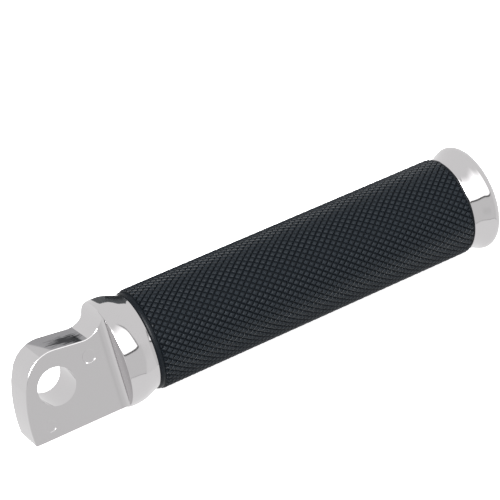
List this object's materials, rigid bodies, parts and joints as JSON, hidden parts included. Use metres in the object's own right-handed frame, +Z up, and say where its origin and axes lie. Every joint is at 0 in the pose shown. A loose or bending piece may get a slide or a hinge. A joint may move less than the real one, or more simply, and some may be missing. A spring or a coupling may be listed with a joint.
{
  "type": "foot peg",
  "caption": "Motorcycle foot peg: chrome mount with a drilled folding tongue, knurled rubber sleeve on a ribbed core, and a flared chrome end cap.",
  "frame": {"origin": "the middle of the pivot hole, half way through the tongue", "axes": "+X along the peg from the tongue to the outer end cap, +Y along the pivot pin, +Z up with the tongue's flat stop face down"},
  "size_m": [0.165, 0.0346, 0.0346],
  "materials": {
    "mount_chrome": "bright chrome plate over a polished casting",
    "cap_chrome": "bright chrome plate over a turned cap",
    "sleeve_rubber": "black rubber with a moulded diamond knurl, satin",
    "core_aluminium": "as extruded, with turned ends",
    "plated_steel": "clear zinc plate",
    "o_ring_rubber": "black nitrile"
  },
  "bodies": {
    "root": {"mount_casting": "mount_chrome", "rubber_sleeve": "sleeve_rubber", "end_cap": "cap_chrome", "core_barrel": "core_aluminium", "core_bolt": "plated_steel", "core_bolt_flat_washer": "plated_steel", "core_bolt_spring_washer": "plated_steel", "locating_pin_upper": "plated_steel", "locating_pin_lower": "plated_steel", "cap_stud": "plated_steel", "cap_o_ring": "o_ring_rubber"}
  },
  "joints": []
}
